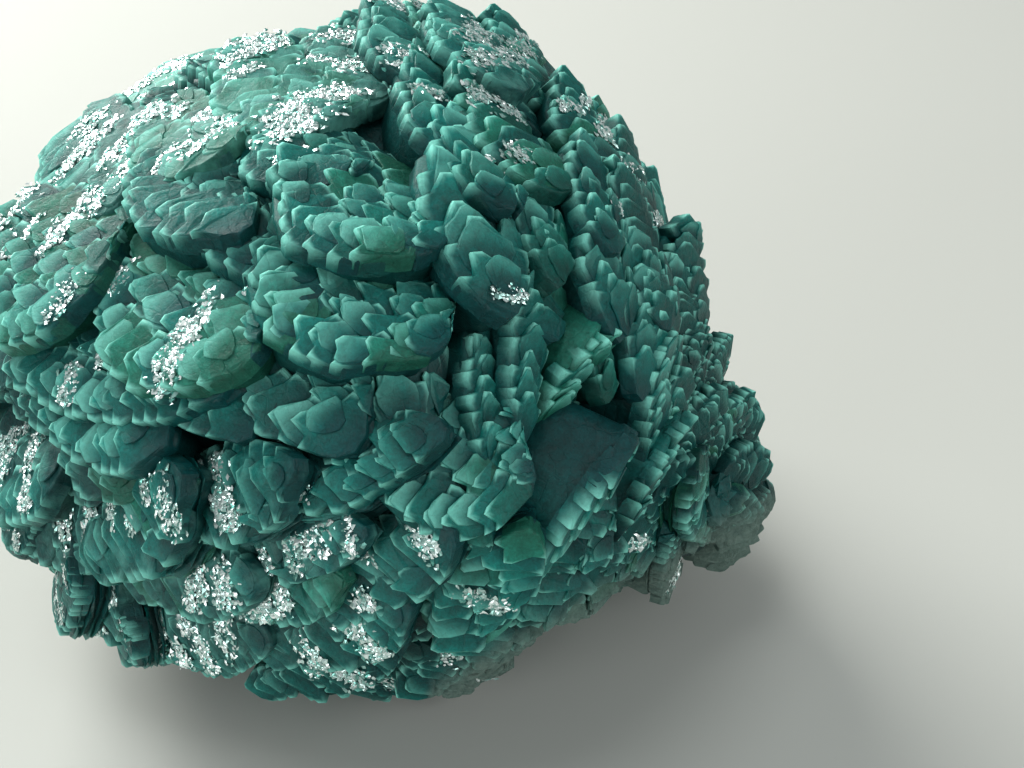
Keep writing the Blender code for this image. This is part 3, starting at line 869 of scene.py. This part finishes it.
# Painted light and shade: no painted rim light, and a fade that leans to the painted shade green.
CRUMB["rim"][:] = 0
CRUMB["fade"][:] = 0.35
CRUMB_COUNT = 1100
RIM_ACROSS = (-7, 5, 18, 31)
RIM_UP = (-27.4, -28.4, -19.8, -16.8)
RIM_BAND = 3.4
growth = new_growth()
draw = np.random.default_rng(22)
for _ in range(CRUMB_COUNT):
    across = draw.uniform(RIM_ACROSS[0], RIM_ACROSS[-1])
    inward = RIM_BAND * draw.uniform() ** 1.5
    place = display_place(across, np.interp(across, RIM_ACROSS, RIM_UP) + inward)
    normal = heart_normal(place)
    side = unit(np.cross(normal, (0.2, 0.1, 1.0)))
    size = (draw.uniform(0.25, 0.8) + 0.1 * inward) * MM
    points = CRUMB["points"] * draw.uniform(0.7, 1.3, (len(CRUMB["points"]), 1))
    points = points * (size * draw.uniform(0.9, 1.7), size, size * draw.uniform(0.4, 0.8))
    points = points @ turn_about(2, draw.uniform(0, 6.3)).T @ turn_about(0, draw.normal(0, 0.6)).T
    points = points @ np.stack((side, np.cross(normal, side), normal)) + place
    points = points + normal * draw.uniform(-0.2, 1.3) * MM
    points[:, 2] = np.maximum(points[:, 2], 0.05 * MM)
    tone = draw.uniform(0, 0.7)
    worn = max(draw.uniform(-0.2, 1.0) - 0.35 * inward, 0)
    add_copy(growth, CRUMB, points, tone, 0, worn=worn)
grown_piece("broken_front_edge", growth, CRYSTAL_GREEN)

# 6. The broad roofs in the middle.
# Wide sheaves roofed with many scales, each with a smooth side towards the lower left, dark with both
# rendered and painted shade.
# They lie on the heart like tiles, their tips over the roots of the next.
grow_display(
    "sheaves_middle",
    14,
    (
        (1.6, 10.8, 132, 8.4, 9.4, 3.4, 4.0, 0.0),
        (0.8, 4.6, 128, 8.4, 9.4, 4.0, 3.8, 0.0),
        (-6.6, 9.0, 122, 9.0, 4.8, 3.2, 4.0, 0.0),
        (-11.0, 11.8, 130, 7.6, 5.4, 2.8, 3.4, 0.2),
        (-11.2, 5.4, 146, 10.6, 9.6, 3.8, 4.2, 0.25),
        (-21.2, 8.6, 150, 9.6, 9.2, 3.6, 4.0, 0.35),
        (-28.2, 10.2, 160, 8.4, 7.0, 3.0, 3.6, 0.4),
        (-4.0, -1.4, 128, 7.4, 6.2, 3.2, 4.4, 0.0),
        (2.8, -2.2, 104, 6.0, 4.2, 3.2, 4.6, 0.0),
        (8.0, -3.2, 101, 7.4, 2.6, 3.0, 4.0, 0.0),
        (5.0, -7.6, 158, 8.6, 6.6, 4.0, 3.8, 0.0),
    ),
)

# 7. The upper left and the top.
# Crumbly terraces of small plates, full of broken cleavage faces that glitter like frost. Over the top
# the leaves get longer and stand up along the ball's outline.
grow_display(
    "sheaves_top",
    15,
    (
        (-18.4, 15.4, 134, 8.8, 9.4, 2.8, 2.8, 0.81, 8),
        (-20.4, 20.0, 138, 8.2, 7.6, 2.4, 2.6, 0.41, 8),
        (-12.0, 22.2, 120, 9.0, 9.4, 2.8, 2.6, 1.0, 8),
        (-11.2, 16.8, 130, 6.6, 7.6, 2.6, 2.6, 0.81, 8),
        (-4.2, 19.4, 116, 7.6, 7.4, 2.6, 2.8, 0.88, 8),
        (-3.2, 14.6, 118, 6.2, 5.6, 2.8, 3.4, 0.27, 8),
        (0.6, 21.4, 100, 6.6, 5.4, 2.4, 2.8, 0.81, 8),
        (-2.6, 25.6, 92, 6.8, 5.6, 2.8, 4.0, 0.41, 8),
        (2.0, 26.4, 92, 6.6, 4.8, 3.6, 4.2, 0.54, 8),
        (6.0, 26.2, 84, 6.6, 5.4, 3.0, 4.0, 0.41, 8),
        (3.8, 21.8, 98, 6.8, 3.6, 3.0, 3.8, 0.68, 8),
        (10.2, 20.6, 112, 7.6, 5.6, 3.4, 3.2, 0.74, 8),
        (14.6, 19.4, 120, 7.8, 6.0, 3.4, 3.0, 0.41, 8),
        (9.4, 24.2, 100, 6.6, 6.4, 3.6, 3.2, 0.41, 8),
    ),
)

# 8. The left and the lower left.
# Long overlapping sheaves whose tips run left, undercut and dark below with both rendered and painted shade,
# glittering in streaks.
# Those at the lower left show the broken edges of thin layers all round their sides.
grow_display(
    "sheaves_left",
    16,
    (
        (-27.4, 2.2, 170, 9.0, 6.4, 3.0, 3.4, 0.45),
        (-16.8, 0.4, 164, 12.4, 6.4, 3.2, 3.8, 0.2),
        (-19.0, -3.6, 164, 8.8, 4.6, 2.8, 4.0, 0.2),
        (-19.8, -6.8, 160, 5.6, 3.4, 3.0, 4.4, 0.0),
        (-12.4, -0.8, 132, 8.4, 4.4, 2.6, 3.6, 0.3),
        (-8.8, -1.0, 114, 5.6, 2.8, 2.6, 4.0, 0.0),
        (-2.0, -6.6, 190, 9.9, 4.0, 4.0, 3.8, 0.36, 32),
        (-9.8, -8.2, 200, 9.9, 4.4, 4.0, 3.6, 0.63, 32),
        (-16.4, -9.8, 214, 9.1, 5.2, 4.0, 3.6, 0.63, 32),
        (-7.4, -12.8, 188, 11.2, 3.7, 2.4, 3.0, 0.72, 32),
        (-25.8, -6.0, 184, 9.9, 6.2, 2.6, 3.2, 0.72, 32),
        (-22.4, -11.4, 186, 9.1, 4.5, 2.6, 3.0, 0.72, 32),
        (-21.0, -16.4, 216, 8.2, 4.7, 3.2, 3.0, 0.72, 32),
        (-12.8, -15.2, 196, 9.3, 3.4, 3.2, 3.0, 0.72, 32),
        (-6.8, -16.2, 190, 7.3, 3.2, 2.8, 3.0, 0.72, 32),
        (-13.2, -19.8, 200, 10.2, 4.4, 2.8, 2.8, 0.72, 32),
        (-17.4, -22.8, 230, 7.6, 4.9, 3.2, 3.0, 0.36, 32),
        (0.2, -14.4, 216, 8.2, 4.4, 3.8, 3.4, 0.54, 32),
        (-3.2, -19.2, 206, 9.3, 4.4, 3.6, 3.0, 0.63, 32),
        (-3.6, -22.8, 200, 9.3, 3.9, 2.8, 2.8, 0.54, 32),
        (-27.4, -16.0, 224, 8.9, 6.9, 2.2, 2.8, 0.45, 32),
        (-24.0, -20.6, 232, 8.2, 6.4, 2.4, 3.0, 0.18, 32),
        (-29.4, -9.8, 196, 8.0, 5.4, 2.4, 2.8, 0.54, 32),
    ),
)

# 9. The far side and the underside.
# The same growth all round the back: evenly spread sheaves with their tips turned away from the cleft,
# lower and rougher where they pass under towards the base, and smaller where they near the display side.
FAR_COUNT = 116
CLEFT = unit(display_place(13.5, -6.5) - HEART)


def spread_evenly(count):
    """Directions spread evenly over a ball along one long spiral, from its top to its foot."""
    for index in range(count):
        level = 1 - 2 * (index + 0.5) / count
        ring = math.sqrt(1 - level * level)
        turn = math.pi * (3 - math.sqrt(5)) * index
        yield np.array((ring * math.cos(turn), ring * math.sin(turn), level))


growth = {"upper": new_growth(), "lower": new_growth()}
glints = new_growth()
draw = np.random.default_rng(17)
for direction in spread_evenly(FAR_COUNT):
    place = heart_point(direction)
    normal = heart_normal(place)
    facing = normal @ unit(VIEWPOINT - place)
    if facing >= -0.06 or normal @ direction <= 0.93:
        continue
    swing = direction - CLEFT
    heading = swing + np.cross(direction, swing) * draw.uniform(-0.5, 0.5)
    height = draw.uniform(1.0, 1.8) if direction[2] < -0.55 else draw.uniform(2.2, 3.2)
    length, width = draw.uniform(9.4, 11.8), draw.uniform(8.6, 10.6)
    leaf, glitter = draw.uniform(4.0, 6.0), draw.uniform(0, 0.45)
    near_display = facing > -0.405
    if near_display:
        length, width, height, leaf = length * 0.75, width * 0.7, height * 0.55, leaf * 0.75
    sizes = (length * 1.24 * MM, width * 1.26 * MM, height * MM, leaf * MM, glitter)
    proud = -1 if draw.uniform() < 0.5 else 1
    half = growth["upper" if direction[2] > 0 else "lower"]
    Sheaf(draw, place, heading, sizes, proud, draw.uniform(-4, 12), PLAIN_LEAF).grow(half, glints)
grown_piece("sheaves_far_upper", growth["upper"], CRYSTAL_GREEN)
grown_piece("sheaves_far_lower", growth["lower"], CRYSTAL_GREEN)
grown_piece("sheaves_far_glints", glints, CLEAVAGE_GLINT)

# 10. The small growth in the gaps.
# Low young sheaves on whatever ground the big ones leave bare, except down in the deep cleft and under
# the base.
GAP_COUNT = 760
growth = {"left": new_growth(), "right": new_growth()}
draw = np.random.default_rng(18)
big = np.array(COVERED)
for direction in spread_evenly(GAP_COUNT):
    place = heart_point(direction)
    facing = abs(heart_normal(place) @ unit(VIEWPOINT - place))
    roof_reach = big[:, 3] * min(0.9 + 0.35 * facing, 1.1)
    roofed = (np.linalg.norm(big[:, :3] - place, axis=1) < roof_reach).any()
    if roofed or direction[2] < -0.75 or np.linalg.norm(direction - CLEFT) < 0.2:
        continue
    swing = direction - CLEFT
    heading = swing + np.cross(direction, swing) * draw.uniform(-0.4, 0.4)
    length, width = draw.uniform(5.0, 6.5) * MM, draw.uniform(4.0, 5.5) * MM
    height, leaf = draw.uniform(1.2, 2.0) * (0.8 + 0.15 * facing) * MM, draw.uniform(2.2, 3.4) * MM
    half = growth["left" if direction[0] < 0 else "right"]
    Sheaf(draw, place, heading, (length, width, height, leaf, 0.0), -1, crystal=PLAIN_LEAF).grow(half)
grown_piece("gap_growth_left", growth["left"], CRYSTAL_GREEN)
grown_piece("gap_growth_right", growth["right"], CRYSTAL_GREEN)

# 11. The stage.
# A plain pale floor, soft window light from behind on the left, and the camera where the photo was taken.
bpy.ops.object.select_all(action="DESELECT")
bpy.ops.mesh.primitive_plane_add(size=4, location=(0, 0, 0))
floor = bpy.context.object
floor.name = "pale_floor"
bpy.ops.object.mode_set(mode="EDIT")
bpy.ops.mesh.subdivide(number_cuts=4)
bpy.ops.object.mode_set(mode="OBJECT")
paper = bpy.data.materials.new("pale_floor")
paper.use_nodes = True
shader = paper.node_tree.nodes["Principled BSDF"]
shader.inputs["Base Color"].default_value = colour(168, 170, 164)
shader.inputs["Roughness"].default_value = 0.8
floor.data.materials.append(paper)


def soft_light(name, place, size, energy, tint):
    """A round lamp that faces the ball, its place and size in metres and its energy in watts."""
    bpy.ops.object.light_add(type="AREA", location=place)
    light = bpy.context.object
    light.name = name
    light.data.shape = "DISK"
    light.data.size = size
    light.data.energy = energy
    light.data.color = tint
    axis = unit(np.array(place) - HEART)
    light.rotation_euler = (math.acos(axis[2]), 0, math.atan2(axis[1], axis[0]) + math.pi / 2)


soft_light("window", (-0.24, 0.30, 0.36), 0.34, 3.9, (1.0, 0.99, 0.96))
soft_light("low_window", (-0.34, 0.46, 0.16), 0.3, 1.9, (1.0, 0.99, 0.96))
soft_light("overhead", (-0.12, -0.06, 0.52), 0.2, 0.8, (0.97, 0.99, 1.0))
soft_light("left_card", (-0.50, -0.42, 0.12), 0.5, 2.5, (0.95, 0.98, 1.0))
soft_light("right_card", (0.46, -0.34, 0.30), 0.5, 1.9, (0.97, 0.99, 1.0))

world = bpy.data.worlds.new("room_light")
world.use_nodes = True
world.node_tree.nodes["Background"].inputs["Color"].default_value = (0.86, 0.92, 0.95, 1)
world.node_tree.nodes["Background"].inputs["Strength"].default_value = 0.3
bpy.context.scene.world = world
bpy.context.scene.view_settings.view_transform = "Standard"

CAMERA_DOWN = math.radians(36.489)
CAMERA_TO_RIGHT = math.radians(6.964)
bpy.ops.object.camera_add(location=tuple(VIEWPOINT))
camera = bpy.context.object
camera.data.lens = 50
camera.data.sensor_width = 36
camera.data.clip_start = 0.01
camera.rotation_euler = (math.pi / 2 - CAMERA_DOWN, 0, -CAMERA_TO_RIGHT)
bpy.context.scene.camera = camera
